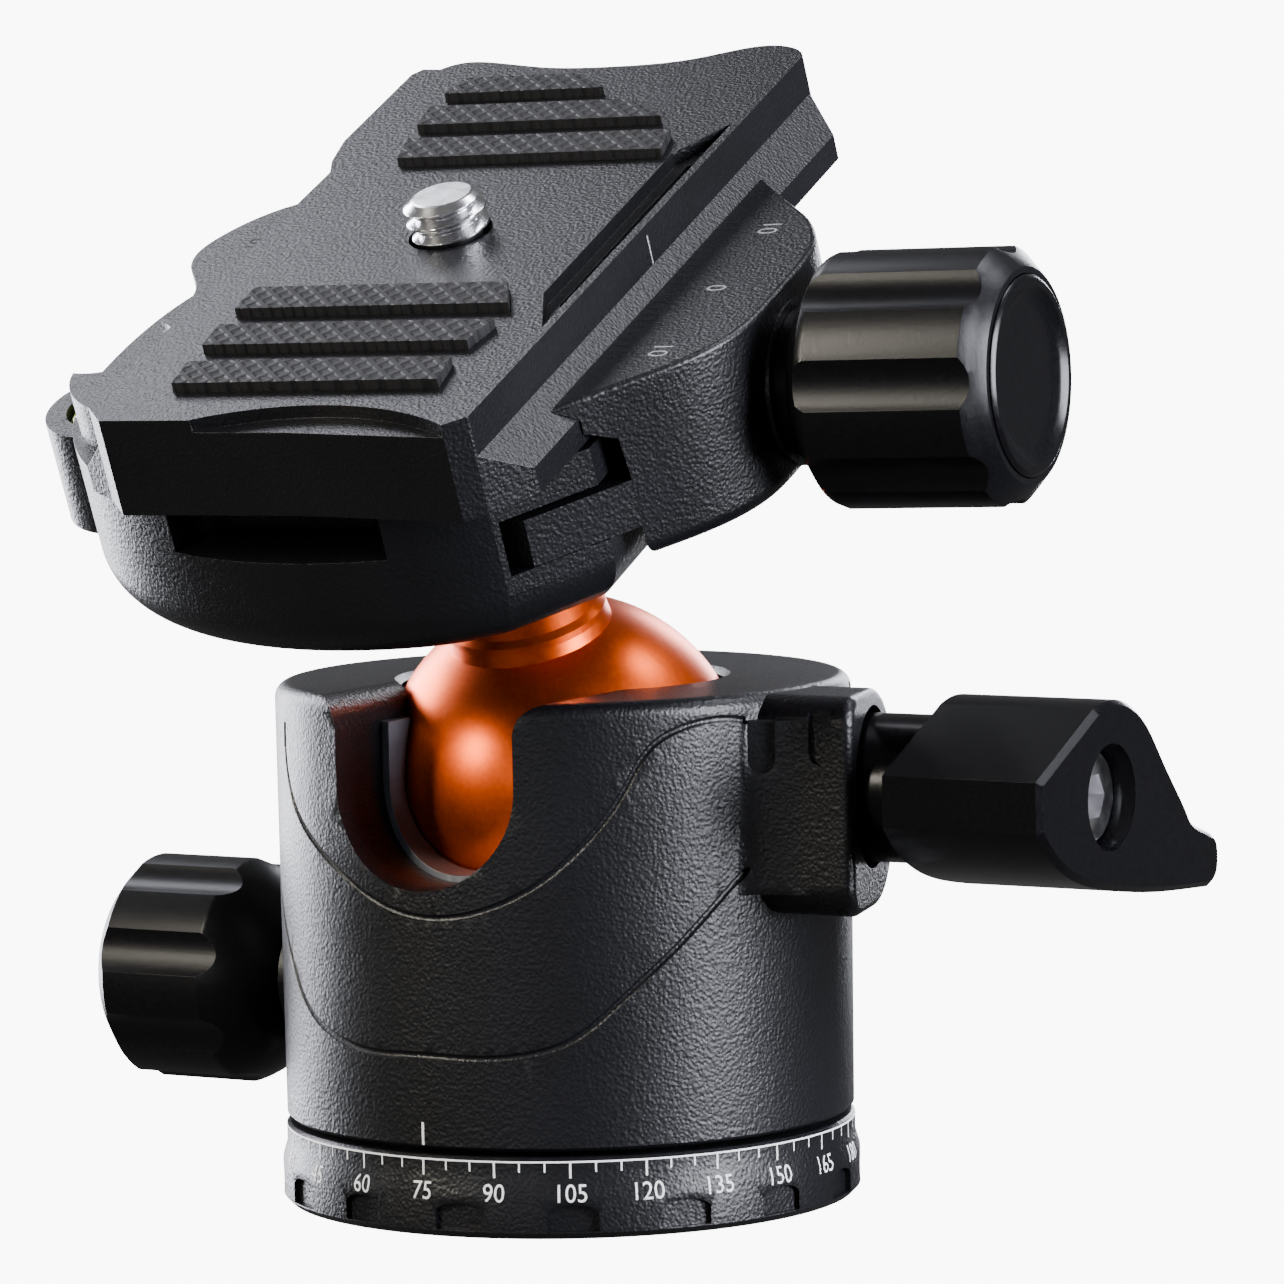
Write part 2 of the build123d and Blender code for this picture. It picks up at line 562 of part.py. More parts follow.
with BuildPart() as moving_jaw:
    with BuildSketch(HEAD.offset(27.3)) as s:
        with BuildLine() as l:
            Line((17.57, 20.84), (17.57, -20.84))
            Line((17.57, -20.84), (20.3, -17.82))
            Spline((20.3, -17.82), (25.6, -11.9), (27.5, -7.9), (28.0, -3.1), (28.0, 3.1), (27.5, 7.9), (25.6, 11.9), (20.3, 17.82),
                   tangents=((0.67, 0.742), (-0.67, 0.742)))
            Line((20.3, 17.82), (17.57, 20.84))
        make_face()
    extrude(amount=JAW_TOP - 27.3)
    fillet(moving_jaw.faces().sort_by(STEM)[0].edges().filter_by(GeomType.BSPLINE), radius=1.6)
    fillet(moving_jaw.faces().sort_by(STEM)[-1].edges().filter_by(GeomType.BSPLINE), radius=0.4)
    # inner wall: lip over a 45 degree flank, relief below, clear of the base block
    with BuildSketch(Plane(origin=BC + V * -40, x_dir=U, z_dir=V * -1)) as s:
        with BuildLine() as l:
            Polyline((15.0, JAW_TOP + 0.1), (17.92, JAW_TOP + 0.1), (17.92, 41.25), (19.2, 39.97), (19.2, 38.8), (20.9, 37.5), (21.1, 34.2),
                     (21.1, 27.0), (15.0, 27.0), close=True)
        make_face()
    extrude(amount=-80, mode=Mode.SUBTRACT)
    # tongues that run in the base slot
    with BuildSketch(HEAD.offset(30.2)) as s:
        with BuildLine() as l:
            Polyline((9.2, 23.5), (15.1, 23.5), (21.5, 16.5), (21.5, -16.5), (15.1, -23.5), (9.2, -23.5), (9.2, -6.0), (17.5, -6.0),
                     (17.5, 6.0), (9.2, 6.0), close=True)
        make_face()
    extrude(amount=3.8)
    # flat pad and bore for the draw screw
    with BuildSketch(head_vw_at(24.0)) as s:
        with Locations((0, KNOB_W)):
            Circle(6.4)
    extrude(amount=4.2)
    with BuildSketch(head_vw_at(15.0)) as s:
        with Locations((0, KNOB_W)):
            Circle(3.05)
    extrude(amount=15.0, mode=Mode.SUBTRACT)
    with BuildSketch(head_vw_at(20.0)) as s:
        with Locations((-10, 28.75), (10, 28.75)):
            Circle(1.24)
    extrude(amount=5.4, mode=Mode.SUBTRACT)
export("moving_jaw", "moving_jaw", moving_jaw.part)

# ---------------------------------------------------------------- clamp knob
with BuildPart() as knob_washer:
    with BuildSketch(head_vw_at(28.25)) as s:
        with Locations((0, KNOB_W)):
            Circle(5.7)
            Circle(3.05, mode=Mode.SUBTRACT)
    extrude(amount=1.65)
export("knob_washer", "knob_washer", knob_washer.part)

KNOB_AXIS = Axis(BC + W * KNOB_W, U)
with BuildPart() as clamp_knob:
    with BuildSketch(HEAD_UW) as s:
        with BuildLine() as l:
            Polyline((29.95, KNOB_W), (29.95, KNOB_W + 7.2), (31.6, KNOB_W + 9.5), (32.4, KNOB_W + KNOB_R), (44.9, KNOB_W + KNOB_R),
                     (46.5, KNOB_W + 8.1), (46.5, KNOB_W), close=True)
        make_face()
    revolve(axis=KNOB_AXIS)
    # shallow hollow grooves along the whole knob
    with BuildSketch(Plane(origin=BC + W * KNOB_W + U * 29.0, x_dir=V, z_dir=U)) as s:
        with PolarLocations(KNOB_R + 2.99, 8, start_angle=22.5):
            Circle(3.7)
    extrude(amount=19.0, mode=Mode.SUBTRACT)
    with BuildSketch(head_vw_at(29.0)) as s:
        with Locations((0, KNOB_W)):
            Circle(3.0)
    extrude(amount=12.0, mode=Mode.SUBTRACT)
    with BuildSketch(head_vw_at(45.6)) as s:
        with Locations((0, KNOB_W)):
            Circle(7.62)
    extrude(amount=2.0, mode=Mode.SUBTRACT)
export("clamp_knob", "clamp_knob", clamp_knob.part)

with BuildPart() as knob_cap:
    with BuildSketch(HEAD_UW) as s:
        with BuildLine() as l:
            Polyline((45.65, KNOB_W), (45.65, KNOB_W + 7.55), (46.6, KNOB_W + 7.55), (46.85, KNOB_W + 7.2), (46.85, KNOB_W + 6.7),
                     (46.45, KNOB_W + 6.3), (46.2, KNOB_W + 5.4), (46.2, KNOB_W), close=True)
        make_face()
    revolve(axis=KNOB_AXIS)
export("knob_cap", "knob_cap", knob_cap.part)

with BuildPart() as draw_screw:
    with BuildSketch(head_vw_at(8.0)) as s:
        with Locations((0, KNOB_W)):
            Circle(2.98)
    extrude(amount=32.9)
    chamfer(draw_screw.edges(), length=0.5)
export("draw_screw", "draw_screw", draw_screw.part)

# ---------------------------------------------------------------- quick release plate
PV = PLATE_V
# rubber bars, three before and three behind the camera screw, as (u, v) outlines
FRONT_BARS = [
    [(-10.4, -25.2), (11.9, -25.4), (11.3, -21.6), (-10.9, -21.4)],
    [(-11.1, -18.6), (11.3, -18.8), (11.9, -15.2), (-11.4, -15.0)],
    [(-11.5, -12.2), (11.8, -12.4), (10.0, -8.6), (-11.6, -8.4)],
]
REAR_BARS = [
    [(-10.6, 15.4), (12.4, 15.4), (11.6, 19.2), (-11.4, 19.2)],
    [(-11.9, 21.9), (9.6, 21.9), (5.2, 25.6), (-12.4, 25.6)],
    [(-12.3, 28.1), (1.9, 28.1), (-1.8, 31.2), (-11.6, 31.2)],
]
with BuildPart() as quick_plate:
    with BuildSketch(Plane(origin=BC + V * -45, x_dir=U, z_dir=V * -1)) as s:
        with BuildLine() as l:
            Polyline((-PLATE_HW, PLATE_TOP), (-PLATE_HW, 42.6), (-DOVETAIL_HW, 40.05), (-DOVETAIL_HW, 38.0),
                     (DOVETAIL_HW, 38.0), (DOVETAIL_HW, 40.05), (PLATE_HW, 42.6), (PLATE_HW, PLATE_TOP), close=True)
        make_face()
    extrude(amount=-90)
    # plan outline
    with BuildSketch(HEAD.offset(36.0)) as s:
        with BuildLine() as l:
            Polyline((-19.5, 30.9), (-19.5, -25.5), (-16.6, -27.4), (-14.4, -29.9), (-6.6, -30.1), (1.6, -30.4), (14.9, -31.7), (16.4, -30.4),
                     (19.5, -26.5), (19.5, 31.5), (16.6, 34.4))
            Spline((16.6, 34.4), (14.6, 36.6), (12.6, 37.1), (7.3, 35.2), (0.6, 34.1), (-6.2, 34.5), (-11.6, 36.0), (-13.9, 36.3), (-16.6, 34.0))
            Line((-16.6, 34.0), (-19.5, 30.9))
        make_face()
    extrude(amount=12.0, mode=Mode.INTERSECT)
    # raised side lug at the rear left
    with BuildSketch(HEAD.offset(41.85)) as s:
        with BuildLine() as l:
            Polyline((-16.0, 14.8), (-16.5, 14.8), (-17.4, 17.0), (-18.2, 21.0), (-18.3, 34.2), (-17.7, 35.2), (-16.0, 35.0), close=True)
        make_face()
    extrude(amount=PLATE_TOP - 41.85)
    # stepped pocket behind a thin rim along the right edge
    with BuildSketch(HEAD.offset(PLATE_TOP - 1.1)) as s:
        with BuildLine() as l:
            Polyline((15.75, -15.3), (13.2, -9.3), (13.0, 16.1), (15.75, 21.6), close=True)
        make_face()
    extrude(amount=3.0, mode=Mode.SUBTRACT)
    with BuildSketch(HEAD.offset(PLATE_TOP - 1.7)) as s:
        with BuildLine() as l:
            Polyline((15.4, -12.4), (14.2, -9.0), (14.0, 15.8), (15.4, 19.0), close=True)
        make_face()
    extrude(amount=3.0, mode=Mode.SUBTRACT)
    # crescent ledge along the front edge
    with BuildSketch(HEAD.offset(PLATE_TOP - 1.0)) as s:
        with BuildLine() as l:
            ThreePointArc((-6.6, -30.0), (3.2, -27.9), (14.9, -31.6))
            Polyline((14.9, -31.6), (14.9, -34), (-6.6, -34), (-6.6, -30.0))
        make_face()
    extrude(amount=3.0, mode=Mode.SUBTRACT)
    # pad recesses
    with BuildSketch(HEAD.offset(PLATE_TOP - 1.2)) as s:
        for bar in FRONT_BARS + REAR_BARS:
            with BuildLine() as l:
                Polyline(*bar, close=True)
            make_face()
        offset(amount=0.08, kind=Kind.INTERSECTION)
    extrude(amount=3.0, mode=Mode.SUBTRACT)
    # camera screw hole, head pocket below
    with BuildSketch(HEAD.offset(36.0)) as s:
        with Locations((0, PV)):
            Circle(3.3)
    extrude(amount=12.0, mode=Mode.SUBTRACT)
    with BuildSketch(HEAD.offset(37.0)) as s:
        with Locations((0, PV)):
            Circle(8.2)
    extrude(amount=4.4, mode=Mode.SUBTRACT)
export("quick_plate", "quick_plate", quick_plate.part)

with BuildPart() as pad_front:
    with BuildSketch(HEAD.offset(PLATE_TOP - 1.2)) as s:
        for bar in FRONT_BARS:
            with BuildLine() as l:
                Polyline(*bar, close=True)
            make_face()
    extrude(amount=1.2 + PAD_RISE)
export("pad_front", "pad_front", pad_front.part)

with BuildPart() as pad_rear:
    with BuildSketch(HEAD.offset(PLATE_TOP - 1.2)) as s:
        for bar in REAR_BARS:
            with BuildLine() as l:
                Polyline(*bar, close=True)
            make_face()
    extrude(amount=1.2 + PAD_RISE)
export("pad_rear", "pad_rear", pad_rear.part)

with BuildPart() as camera_screw:
    with BuildSketch(HEAD.offset(38.2)) as s:
        with Locations((0, PV)):
            Circle(7.9)
    extrude(amount=3.0)
    # relieved neck inside the plate, threaded end above it
    with BuildSketch(HEAD.offset(41.0)) as s:
        with Locations((0, PV)):
            Circle(2.5)
    extrude(amount=5.0)
    with BuildSketch(HEAD.offset(45.85)) as s:
        with Locations((0, PV)):
            Circle(CAMERA_R)
    extrude(amount=3.15)
    chamfer(camera_screw.faces().sort_by(STEM)[-1].edges(), length=0.8)
    # coin slot
    with BuildSketch(HEAD.offset(38.2)) as s:
        with Locations((0, PV)):
            Rectangle(20.0, 1.8)
    extrude(amount=1.4, mode=Mode.SUBTRACT)
export("camera_screw", "camera_screw", camera_screw.part)
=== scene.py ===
import bpy
import bmesh
import math
from math import sin, cos, radians, pi, sqrt, atan2
from mathutils import Vector, Matrix
from mathutils.bvhtree import BVHTree


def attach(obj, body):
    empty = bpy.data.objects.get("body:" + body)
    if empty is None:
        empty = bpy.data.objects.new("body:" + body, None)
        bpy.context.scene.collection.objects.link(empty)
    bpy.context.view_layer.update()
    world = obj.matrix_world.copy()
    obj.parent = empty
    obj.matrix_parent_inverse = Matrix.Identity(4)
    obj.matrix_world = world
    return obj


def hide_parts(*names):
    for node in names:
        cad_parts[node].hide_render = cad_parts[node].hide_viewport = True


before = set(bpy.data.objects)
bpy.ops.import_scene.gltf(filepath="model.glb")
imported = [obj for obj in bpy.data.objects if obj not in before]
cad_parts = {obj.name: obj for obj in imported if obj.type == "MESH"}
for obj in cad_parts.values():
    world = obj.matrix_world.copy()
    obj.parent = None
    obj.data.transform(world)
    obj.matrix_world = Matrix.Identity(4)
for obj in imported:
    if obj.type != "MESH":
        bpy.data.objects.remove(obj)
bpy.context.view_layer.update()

MM = 0.001
T, S = radians(22.5), radians(4.0)
U = Vector((cos(S), sin(S) * cos(T), sin(S) * sin(T)))
V = Vector((-sin(S), cos(S) * cos(T), cos(S) * sin(T)))
W = Vector((0, -sin(T), cos(T)))
BC = Vector((0, 0, 33.25))


def hp(u, v, w):
    """Head coordinates in mm to a point in the row frame in metres."""
    return (BC + U * u + V * v + W * w) * MM


HEAD = Matrix(((U.x, V.x, W.x, BC.x * MM), (U.y, V.y, W.y, BC.y * MM), (U.z, V.z, W.z, BC.z * MM), (0, 0, 0, 1)))

# ------------------------------------------------------------------ materials


def node_material(name):
    m = bpy.data.materials.new(name)
    m.use_nodes = True
    nt = m.node_tree
    nt.nodes.clear()
    out = nt.nodes.new("ShaderNodeOutputMaterial")
    b = nt.nodes.new("ShaderNodeBsdfPrincipled")
    nt.links.new(b.outputs[0], out.inputs[0])
    tc = nt.nodes.new("ShaderNodeTexCoord")
    return m, nt, b, tc


def setv(b, name, value):
    if name in b.inputs:
        b.inputs[name].default_value = value


def noise(nt, tc, scale, detail=3.0, rough=0.55, distortion=0.0):
    n = nt.nodes.new("ShaderNodeTexNoise")
    n.inputs["Scale"].default_value = scale
    n.inputs["Detail"].default_value = detail
    n.inputs["Roughness"].default_value = rough
    n.inputs["Distortion"].default_value = distortion
    nt.links.new(tc.outputs["Object"], n.inputs["Vector"])
    return n


def ramp(nt, src, stops):
    r = nt.nodes.new("ShaderNodeValToRGB")
    e = r.color_ramp.elements
    e[0].position, e[0].color = stops[0][0], (*stops[0][1], 1)
    e[1].position, e[1].color = stops[-1][0], (*stops[-1][1], 1)
    for p, c in stops[1:-1]:
        x = e.new(p)
        x.color = (*c, 1)
    nt.links.new(src, r.inputs[0])
    return r


def map_range(nt, src, lo, hi, a, b):
    r = nt.nodes.new("ShaderNodeMapRange")
    r.inputs["From Min"].default_value = lo
    r.inputs["From Max"].default_value = hi
    r.inputs["To Min"].default_value = a
    r.inputs["To Max"].default_value = b
    nt.links.new(src, r.inputs["Value"])
    return r


def bump(nt, b, src, strength, dist, prev=None):
    n = nt.nodes.new("ShaderNodeBump")
    n.inputs["Strength"].default_value = strength
    n.inputs["Distance"].default_value = dist
    nt.links.new(src, n.inputs["Height"])
    if prev is not None:
        nt.links.new(prev.outputs[0], n.inputs["Normal"])
    nt.links.new(n.outputs[0], b.inputs["Normal"])
    return n


def coated(name, dark, light, rough_lo, rough_hi, grain, depth, spec=0.5, coat=0.0, metallic=0.0, sheen=0.0):
    m, nt, b, tc = node_material(name)
    big = noise(nt, tc, 90, 3)
    fine = noise(nt, tc, grain, 4, 0.6)
    pit = nt.nodes.new("ShaderNodeTexVoronoi")
    pit.feature = "SMOOTH_F1"
    pit.inputs["Scale"].default_value = grain * 0.85
    nt.links.new(tc.outputs["Object"], pit.inputs["Vector"])
    col = ramp(nt, big.outputs[0], [(0.3, dark), (0.7, light)])
    nt.links.new(col.outputs[0], b.inputs["Base Color"])
    r = map_range(nt, fine.outputs[0], 0.3, 0.7, rough_lo, rough_hi)
    nt.links.new(r.outputs[0], b.inputs["Roughness"])
    n1 = bump(nt, b, pit.outputs["Distance"], 0.8, depth)
    bump(nt, b, fine.outputs[0], 0.4, depth * 0.6, n1)
    setv(b, "Metallic", metallic)
    setv(b, "Specular IOR Level", spec)
    setv(b, "Coat Weight", coat)
    setv(b, "Coat Roughness", 0.25)
    if sheen:
        setv(b, "Sheen Weight", sheen)
        setv(b, "Sheen Roughness", 0.45)
        setv(b, "Sheen Tint", (0.72, 0.76, 0.95, 1))
    return m


def satin(name, dark, light, rough_lo, rough_hi, scale=700, metallic=0.0, coat=0.0, spec=0.5, depth=0.00001, stretch=None):
    m, nt, b, tc = node_material(name)
    if stretch:
        mp = nt.nodes.new("ShaderNodeMapping")
        mp.inputs["Scale"].default_value = stretch
        nt.links.new(tc.outputs["Object"], mp.inputs["Vector"])
        n = nt.nodes.new("ShaderNodeTexNoise")
        n.inputs["Scale"].default_value = scale
        n.inputs["Detail"].default_value = 4
        nt.links.new(mp.outputs[0], n.inputs["Vector"])
    else:
        n = noise(nt, tc, scale, 4)
    col = ramp(nt, n.outputs[0], [(0.3, dark), (0.7, light)])
    nt.links.new(col.outputs[0], b.inputs["Base Color"])
    r = map_range(nt, n.outputs[0], 0.3, 0.7, rough_lo, rough_hi)
    nt.links.new(r.outputs[0], b.inputs["Roughness"])
    bump(nt, b, n.outputs[0], 0.3, depth)
    setv(b, "Metallic", metallic)
    setv(b, "Coat Weight", coat)
    setv(b, "Coat Roughness", 0.12)
    setv(b, "Specular IOR Level", spec)
    return m


BLACK = coated("blasted_black", (0.002, 0.0021, 0.003), (0.0038, 0.004, 0.0058), 0.34, 0.44, 4400, 0.000055, spec=0.4)
KNOB = satin("knob_black", (0.0018, 0.0018, 0.0026), (0.0036, 0.0036, 0.0048), 0.3, 0.37, 3200, spec=0.24, depth=0.00003)
LEVER = satin("lever_black", (0.0015, 0.0015, 0.002), (0.003, 0.003, 0.004), 0.2, 0.25, 3000, spec=0.26, depth=0.000004)
CAP = satin("cap_black", (0.0015, 0.0015, 0.002), (0.003, 0.003, 0.004), 0.22, 0.27, 3000, spec=0.28, depth=0.000004)
ORANGE = satin("orange_anodised", (0.86, 0.1, 0.005), (0.94, 0.125, 0.009), 0.32, 0.38, 2600, metallic=0.97, depth=0.000001)
STEEL = satin("turned_steel", (0.45, 0.45, 0.47), (0.6, 0.6, 0.62), 0.22, 0.36, 900, metallic=1.0)
CHROME = satin("bright_steel", (0.8, 0.8, 0.82), (0.88, 0.88, 0.9), 0.16, 0.24, 900, metallic=1.0)
BRONZE = satin("bronze", (0.42, 0.27, 0.11), (0.55, 0.36, 0.16), 0.28, 0.42, 700, metallic=1.0)
LINER = satin("liner_grey", (0.08, 0.085, 0.1), (0.11, 0.116, 0.135), 0.35, 0.5, 500)


def lattice(name, dark, light, rough_lo, rough_hi, pitch):
    """Rubber with a diagonal lattice of shallow pits, set out along the clamp axes; the pits are darkened with painted
    shade.
    """
    m, nt, b, tc = node_material(name)
    n = noise(nt, tc, 900, 3)
    waves = []
    for d in ((U + V).normalized(), (U - V).normalized()):
        dot = nt.nodes.new("ShaderNodeVectorMath")
        dot.operation = "DOT_PRODUCT"
        dot.inputs[1].default_value = tuple(d)
        nt.links.new(tc.outputs["Object"], dot.inputs[0])
        k = nt.nodes.new("ShaderNodeMath")
        k.operation = "MULTIPLY"
        k.inputs[1].default_value = 2 * pi / (pitch * MM)
        nt.links.new(dot.outputs["Value"], k.inputs[0])
        w = nt.nodes.new("ShaderNodeMath")
        w.operation = "COSINE"
        nt.links.new(k.outputs[0], w.inputs[0])
        waves.append(w)
    top = nt.nodes.new("ShaderNodeMath")
    top.operation = "MAXIMUM"
    nt.links.new(waves[0].outputs[0], top.inputs[0])
    nt.links.new(waves[1].outputs[0], top.inputs[1])
    h = map_range(nt, top.outputs[0], -0.2, 0.75, 0.0, 1.0)
    # pits take the dark colour and the raised tops the light one: painted shade in the pits
    col = ramp(nt, h.outputs[0], [(0.0, dark), (1.0, light)])
    nt.links.new(col.outputs[0], b.inputs["Base Color"])
    r = map_range(nt, n.outputs[0], 0.3, 0.7, rough_lo, rough_hi)
    nt.links.new(r.outputs[0], b.inputs["Roughness"])
    n1 = bump(nt, b, h.outputs[0], 0.9, 0.00022)
    bump(nt, b, n.outputs[0], 0.4, 0.00004, n1)
    setv(b, "Specular IOR Level", 0.35)
    return m


RUBBER_PIT_SHADE = lattice("pad_rubber", (0.002, 0.002, 0.0025), (0.008, 0.008, 0.009), 0.58, 0.72, 1.3)
GLOWING_INK = satin("white_print_painted_glow", (0.74, 0.74, 0.76), (0.86, 0.86, 0.88), 0.5, 0.65, 1500)
# the white print is made to glow faintly (painted light, it is no lamp) so it stays bright in the dim studio
for n in GLOWING_INK.node_tree.nodes:
    if n.type == "BSDF_PRINCIPLED":
        n.inputs["Emission Color"].default_value = (1, 1, 1, 1)
        n.inputs["Emission Strength"].default_value = 0.3
INK_DIM = satin("grey_print", (0.22, 0.22, 0.25), (0.34, 0.34, 0.38), 0.4, 0.6, 1500)
GROOVE = satin("groove_black", (0.002, 0.002, 0.0025), (0.004, 0.004, 0.005), 0.55, 0.7, 900)

# level liquid: clear tinted glass with a pale bubble drawn by a distance falloff; the dark rim round the bubble is
# painted shade and the lighter ring outside it a painted highlight
VIAL, nt, b, tc = node_material("vial_liquid")
mp = nt.nodes.new("ShaderNodeMapping")
mp.inputs["Location"].default_value = tuple(-c for c in hp(-25.3, -7.2, 36.2))
nt.links.new(tc.outputs["Object"], mp.inputs["Vector"])
ln = nt.nodes.new("ShaderNodeVectorMath")
ln.operation = "LENGTH"
nt.links.new(mp.outputs[0], ln.inputs[0])
vn = noise(nt, tc, 500, 2)
# ramp: pale bubble, painted dark rim (shade), painted lighter ring (highlight), then the liquid's own tint
bubble_with_rim_shade = ramp(nt, ln.outputs["Value"], [(0.0014, (0.93, 1.0, 0.62)), (0.0016, (0.42, 0.6, 0.06)), (0.0019, (0.72, 0.86, 0.16)), (0.005, (0.6, 0.78, 0.12))])
nt.links.new(bubble_with_rim_shade.outputs[0], b.inputs["Base Color"])
vr = map_range(nt, vn.outputs[0], 0.3, 0.7, 0.04, 0.08)
nt.links.new(vr.outputs[0], b.inputs["Roughness"])
setv(b, "Coat Weight", 0.8)

cad_finish = {
    "pan_base": BLACK, "thread_insert": STEEL, "snap_ring": STEEL, "thrust_washer": LINER, "housing": BLACK, "carrier_plug": BRONZE,
    "carrier_set_screws": STEEL, "liner_ring": LINER, "lower_seat": LINER, "disc_spring": STEEL, "lever_bush": BRONZE, "boss_washer": KNOB,
    "brake_shoe": LINER, "lock_lever": LEVER, "lock_spindle": STEEL, "lever_screw": CHROME, "pan_knob": KNOB, "pan_stud": STEEL,
    "pan_brake_pin": BRONZE, "pan_collar": KNOB, "stem_bolt": STEEL, "ball": ORANGE, "clamp_base": BLACK, "level_vial": VIAL,
    "guide_pins": STEEL, "moving_jaw": BLACK, "knob_washer": KNOB, "clamp_knob": KNOB, "knob_cap": CAP, "draw_screw": STEEL,
    "quick_plate": BLACK, "pad_front": RUBBER_PIT_SHADE, "pad_rear": RUBBER_PIT_SHADE, "camera_screw": CHROME,
}
for name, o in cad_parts.items():
    o.data.materials.clear()
    o.data.materials.append(cad_finish[name])


def soften(name, width, segments=2, angle=28):
    """Rounds a CAD node's sharp edges with a small bevel."""
    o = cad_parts[name]
    w = o.modifiers.new("weld", "WELD")
    w.merge_threshold = 2e-6
    m = o.modifiers.new("bevel", "BEVEL")
    m.width = width
    m.segments = segments
    m.limit_method = "ANGLE"
    m.angle_limit = radians(angle)
    m.harden_normals = False
    m.use_clamp_overlap = True
    # flat faces keep flat shading up to the rounded edges
    n = o.modifiers.new("normals", "WEIGHTED_NORMAL")
    n.mode = "FACE_AREA"
    n.weight = 60
    n.keep_sharp = True
    return o


def trees(*names):
    out = []
    for n in names:
        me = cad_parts[n].data
        out.append(BVHTree.FromPolygons([v.co for v in me.vertices], [p.vertices[:] for p in me.polygons]))
    return out


def hit(tree_list, origin, direction):
    best = None
    for t in tree_list:
        loc, nor, idx, dist = t.ray_cast(origin, direction)
        if loc is not None and (best is None or dist < best[2]):
            best = (loc, nor, dist)
    return best


def mesh_object(name, verts, faces, material, smooth=False):
    me = bpy.data.meshes.new(name)
    me.from_pydata([tuple(v) for v in verts], [], faces)
    me.validate()
    me.update()
    o = bpy.data.objects.new(name, me)
    bpy.context.scene.collection.objects.link(o)
    me.materials.append(material)
    if smooth:
        for p in me.polygons:
            p.use_smooth = True
    return o


def strip(points, half, offset_fn):
    """A flat ribbon along points: offset_fn(i) gives the sideways unit vector."""
    verts, faces = [], []
    for i, p in enumerate(points):
        s = offset_fn(i) * half
        verts += [p - s, p + s]
    for i in range(len(points) - 1):
        a = 2 * i
        faces.append((a, a + 1, a + 3, a + 2))
    return verts, faces


def glyphs(text, size):
    """Text outline as flat polygons in mm, centred on x, standing on y = 0."""
    cu = bpy.data.curves.new("glyphs_" + text, "FONT")
    cu.body = text
    cu.size = size
    cu.align_x = "CENTER"
    cu.resolution_u = 6
    o = bpy.data.objects.new("glyphs_" + text, cu)
    bpy.context.scene.collection.objects.link(o)
    bpy.context.view_layer.update()
    dg = bpy.context.evaluated_depsgraph_get()
    me = bpy.data.meshes.new_from_object(o.evaluated_get(dg))
    bm = bmesh.new()
    bm.from_mesh(me)
    bmesh.ops.triangulate(bm, faces=bm.faces[:])
    bmesh.ops.subdivide_edges(bm, edges=[e for e in bm.edges if e.calc_length() > size * 0.14], cuts=3)
    bmesh.ops.triangulate(bm, faces=bm.faces[:])
    vs = [v.co.copy() for v in bm.verts]
    fs = [tuple(v.index for v in f.verts) for f in bm.faces]
    bm.free()
    bpy.data.objects.remove(o)
    bpy.data.curves.remove(cu)
    bpy.data.meshes.remove(me)
    return vs, fs


def join_parts(parts):
    verts, faces = [], []
    for v, f in parts:
        n = len(verts)
        verts += list(v)
        faces += [tuple(i + n for i in q) for q in f]
    return verts, faces


# ------------------------------------------------------------------ print on the pan base and housing
base_tree = trees("pan_base")
housing_tree = trees("housing")


def on_round(tree, az, z, lift=0.022):
    """Point on the outside of a round node at azimuth az (from -Y towards +X, degrees) and height z mm."""
    a = radians(az)
    n = Vector((sin(a), -cos(a), 0))
    h = hit(tree, n * 0.04 + Vector((0, 0, z * MM)), -n)
    if h is None:
        return n * 22.5 * MM + Vector((0, 0, z * MM))
    return h[0] + n * lift * MM


def tick_round(tree, az, z0, z1, width, steps=4):
    half = math.degrees(width / 2 / 22.5)
    verts, faces = [], []
    for i in range(steps + 1):
        z = z0 + (z1 - z0) * i / steps
        verts += [on_round(tree, az - half, z), on_round(tree, az + half, z)]
    for i in range(steps):
        a = 2 * i
        faces.append((a, a + 1, a + 3, a + 2))
    return verts, faces


parts = []
ring = []
for i in range(361):
    a = i
    ring.append((on_round(base_tree, a, 5.88), on_round(base_tree, a, 6.02)))
rv, rf = [], []
for i, (p, q) in enumerate(ring):
    rv += [p, q]
for i in range(360):
    rf.append((2 * i, 2 * i + 2, 2 * i + 3, 2 * i + 1))
parts.append((rv, rf))
for k in range(72):
    az = 5 * k
    if k % 3 == 0:
        parts.append(tick_round(base_tree, az, 4.7, 5.95, 0.17))
    else:
        parts.append(tick_round(base_tree, az, 5.15, 5.95, 0.14))
for k in range(24):
    az = 15 * k
    value = (75 + az) % 360
    gv, gf = glyphs(str(value), 1.95)
    mapped = []
    for p in gv:
        mapped.append(on_round(base_tree, az + math.degrees(p.x / 22.6) * 0.92, 2.9 + p.y))
    parts.append((mapped, gf))
v, f = join_parts(parts)
scale_print = mesh_object("pan_scale_print", v, f, GLOWING_INK)
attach(scale_print, "base")

v, f = tick_round(housing_tree, 0.0, 6.98, 8.75, 0.22)
index_print = mesh_object("pan_index_print", v, f, GLOWING_INK)
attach(index_print, "housing")

# ------------------------------------------------------------------ jaw ruler
jaw_tree = trees("moving_jaw")
fixed_tree = trees("clamp_base")


def on_top(tree, u, v, lift=0.02, start=60.0):
    o = hp(u, v, start)
    h = hit(tree, o, -W)
    if h is None:
        return hp(u, v, 41.6 + lift)
    return h[0] + W * lift * MM


def tick_top(tree, u0, u1, v0, width):
    return ([on_top(tree, u0, v0 - width / 2), on_top(tree, u1, v0 - width / 2), on_top(tree, u1, v0 + width / 2), on_top(tree, u0, v0 + width / 2)], [(0, 1, 2, 3)])


def text_top(tree, text, size, u, v, angle):
    gv, gf = glyphs(text, size)
    ca, sa = cos(angle), sin(angle)
    return [on_top(tree, u + p.x * ca - (p.y - size * 0.35) * sa, v + p.x * sa + (p.y - size * 0.35) * ca) for p in gv], gf


